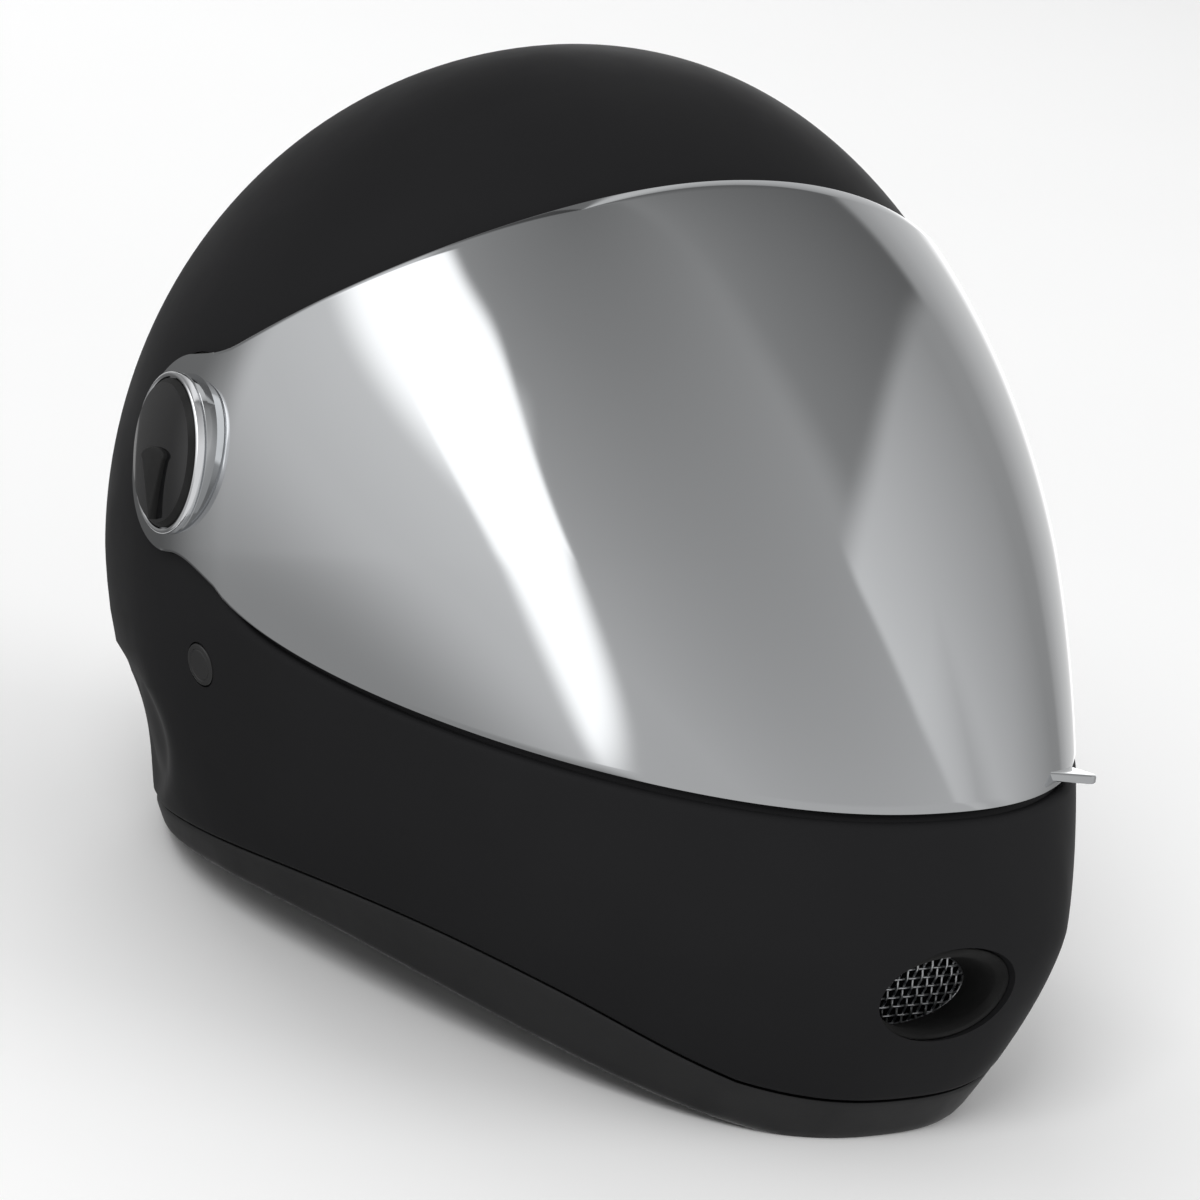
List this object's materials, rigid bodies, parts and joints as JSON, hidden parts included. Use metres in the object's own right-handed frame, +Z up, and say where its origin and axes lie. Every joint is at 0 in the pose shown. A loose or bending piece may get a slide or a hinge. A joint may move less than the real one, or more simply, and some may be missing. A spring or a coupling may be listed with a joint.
{
  "type": "full-face bike helmet",
  "caption": "Full-face bicycle helmet with a mirrored flip-up visor, round side knobs, an oval chin vent, a rubber rim, padded foam lining and a buckled chin strap.",
  "frame": {"origin": "centre of the overall box seen from above, on the plane that the rim stands on", "axes": "+Z up with the helmet standing on its rim, -Y towards the face, +X towards the wearer's left"},
  "size_m": [0.2506, 0.3138, 0.2342],
  "materials": {
    "shell_black": "matt, smooth",
    "rim_rubber": "satin",
    "frame_plastic": "satin",
    "mesh_metal": "woven wire",
    "foam": "moulded foam",
    "filter_foam": "open cells",
    "pad_fabric": "brushed knit",
    "mirror_visor": "mirror coating",
    "steel": "plain",
    "washer_plastic": "plain",
    "hub_plastic": "satin",
    "knob_chrome": "polished",
    "knob_black": "polished",
    "rivet_black": "satin",
    "webbing": "woven",
    "lever_red": "satin"
  },
  "bodies": {
    "shell": {"outer_shell": "shell_black", "base_trim": "rim_rubber", "port_gasket": "rim_rubber", "vent_frame": "frame_plastic", "vent_mesh": "mesh_metal", "vent_filter": "filter_foam", "energy_liner": "foam", "chin_liner": "foam", "crown_pad": "pad_fabric", "brow_pad": "pad_fabric", "side_pad_left": "pad_fabric", "side_pad_right": "pad_fabric", "cheek_pad_left": "pad_fabric", "cheek_pad_right": "pad_fabric", "neck_roll": "pad_fabric", "pivot_base_left": "frame_plastic", "pivot_base_right": "frame_plastic", "base_screws": "steel", "friction_washer_left": "washer_plastic", "friction_washer_right": "washer_plastic", "strap_rivets": "rivet_black", "strap_washers": "steel", "strap_left": "webbing", "strap_right": "webbing", "buckle_frame": "frame_plastic", "buckle_pin": "steel", "ratchet_tongue": "hub_plastic"},
    "visor": {"visor": "mirror_visor", "visor_hub_left": "hub_plastic", "visor_hub_right": "hub_plastic", "hub_retainer_left": "steel", "hub_retainer_right": "steel", "hub_screws": "steel", "knob_ring_left": "knob_chrome", "knob_ring_right": "knob_chrome"},
    "knob_left": {"knob_cap_left": "knob_black"},
    "knob_right": {"knob_cap_right": "knob_black"},
    "lever": {"buckle_lever": "lever_red"}
  },
  "joints": [
    {"name": "visor_tilt", "type": "hinge", "parent": "shell", "child": "visor", "pos_m": [0, 0.04493, 0.12273], "axis": [-1, 0, 0], "range_deg": [0, 50]},
    {"name": "knob_left_turn", "type": "hinge", "parent": "visor", "child": "knob_left", "pos_m": [0.11808, 0.04497, 0.12273], "axis": [0.9824, 0.1859, 0.0177], "range_deg": [0, 90]},
    {"name": "knob_right_turn", "type": "hinge", "parent": "visor", "child": "knob_right", "pos_m": [-0.11808, 0.04497, 0.12273], "axis": [-0.9824, 0.1859, 0.0177], "range_deg": [0, 90]},
    {"name": "lever_lift", "type": "hinge", "parent": "shell", "child": "lever", "pos_m": [0.04043, -0.03856, 0.0174], "axis": [0, -0.6807, 0.7325], "range_deg": [0, 30]}
  ]
}
